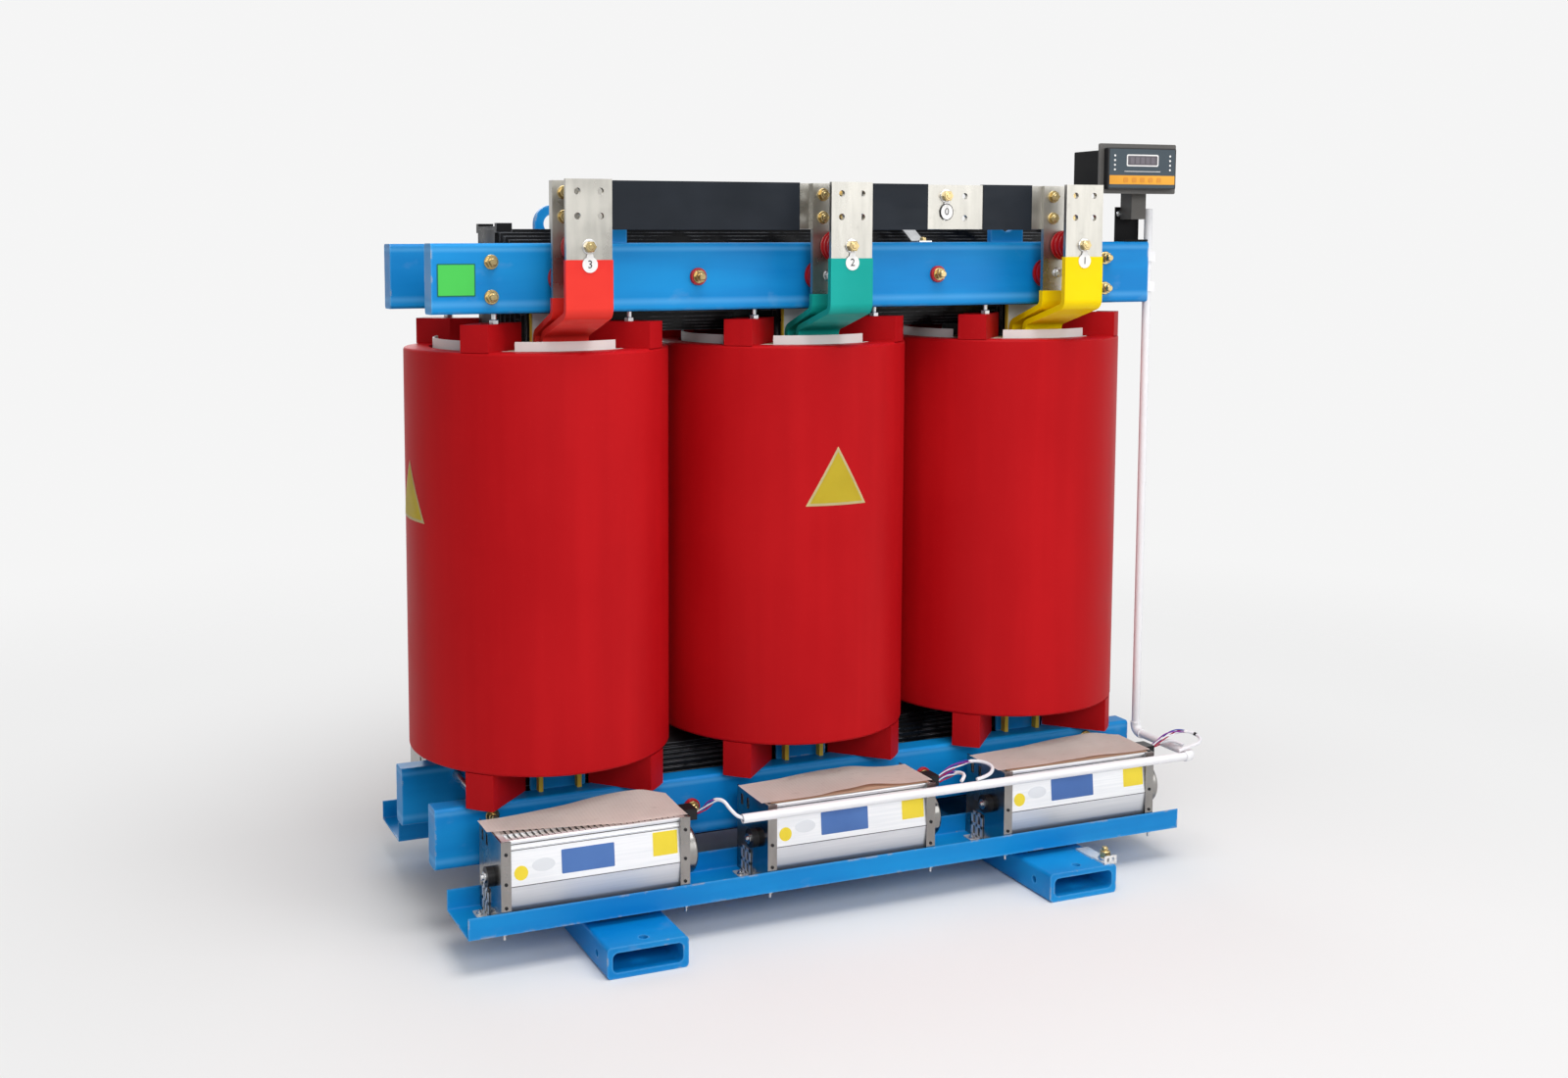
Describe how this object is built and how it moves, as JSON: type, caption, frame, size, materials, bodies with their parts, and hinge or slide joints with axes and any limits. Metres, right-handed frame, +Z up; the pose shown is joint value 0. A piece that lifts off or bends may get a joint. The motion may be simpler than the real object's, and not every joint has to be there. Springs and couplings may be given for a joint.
{
  "type": "dry-type power transformer",
  "caption": "Three-phase dry-type transformer with red cast coils on a clamped core, low-voltage bars in front, cooling fans below and a temperature controller.",
  "frame": {"origin": "on the floor under the middle of the part's outline", "axes": "+X along the row of coils to the right as seen from the low-voltage side, +Y from the low-voltage side to the high-voltage side, +Z up"},
  "size_m": [1.8565, 0.9864, 1.7228],
  "materials": {
    "clamp_paint": "smooth mid-blue enamel on the clamps, lugs and trays",
    "base_paint": "blue enamel on the feet, worn at the edges",
    "core_paint": "black core varnish",
    "black_insulation": "black insulating packer",
    "cast_resin": "glossy red casting resin",
    "winding": "resin-bonded foil winding",
    "pad_resin": "red resin block",
    "white_board": "white insulating sheet",
    "yellow_stick": "yellow glass-fibre stick",
    "zinc_steel": "zinc-plated steel",
    "tinned_bar": "tin-plated bar, faintly brushed",
    "red_sleeve": "red shrink sleeve",
    "green_sleeve": "green shrink sleeve",
    "yellow_sleeve": "yellow shrink sleeve",
    "black_sleeve": "black shrink sleeve",
    "insulator_red": "red moulded insulator",
    "brass": "brass stud",
    "fan_sheet": "satin aluminium sheet",
    "fan_grey": "grey zinc sheet",
    "black_plastic": "black plastic",
    "rubber": "black rubber pad",
    "cardboard": "plain brown cover board",
    "controller_black": "black steel case",
    "controller_face": "dark slate front",
    "stand_grey": "dark grey paint",
    "conduit_white": "white plastic conduit",
    "lead_white": "white sheathed lead"
  },
  "bodies": {
    "root": {"base_foot_left": "base_paint", "base_foot_right": "base_paint", "clamp_stools": "base_paint", "fan_trays": "clamp_paint", "tray_pads": "rubber", "lower_front_clamp": "clamp_paint", "lower_rear_clamp": "clamp_paint", "upper_front_clamp": "clamp_paint", "upper_rear_clamp": "clamp_paint", "yoke_packers": "black_insulation", "tie_rods": "zinc_steel", "lifting_lugs": "clamp_paint", "core_limbs": "core_paint", "core_yokes": "core_paint", "cast_coils": "cast_resin", "tap_faces": "cast_resin", "yoke_end_caps": "core_paint", "inner_coils": "winding", "bottom_pads": "pad_resin", "top_pads": "pad_resin", "jack_bolts": "zinc_steel", "support_posts": "yellow_stick", "coil_barriers": "white_board", "lead_boards": "white_board", "line_bars": "tinned_bar", "neutral_risers": "tinned_bar", "bar_sleeves_left": "red_sleeve", "bar_sleeves_middle": "green_sleeve", "bar_sleeves_right": "yellow_sleeve", "neutral_bar": "tinned_bar", "neutral_sleeves": "black_sleeve", "post_insulators": "insulator_red", "high_voltage_studs": "brass", "high_voltage_links": "tinned_bar", "fan_housings": "fan_sheet", "fan_end_plates": "fan_grey", "fan_rotors": "fan_sheet", "fan_motors": "fan_grey", "fan_bearings": "black_plastic", "fan_grilles": "fan_sheet", "fan_terminal_blocks": "black_plastic", "fan_cover_boards": "cardboard", "controller_case": "controller_black", "controller_front": "controller_face", "controller_stand": "stand_grey", "controller_bracket": "controller_black", "conduit_runs": "conduit_white", "conduit_elbows": "conduit_white", "conduit_clips": "conduit_white", "earth_plate": "zinc_steel", "fan_lead_left": "lead_white", "fan_lead_middle_long": "lead_white", "fan_lead_middle_short": "lead_white", "fan_lead_right_long": "lead_white", "fan_lead_right_short": "lead_white"}
  },
  "joints": []
}
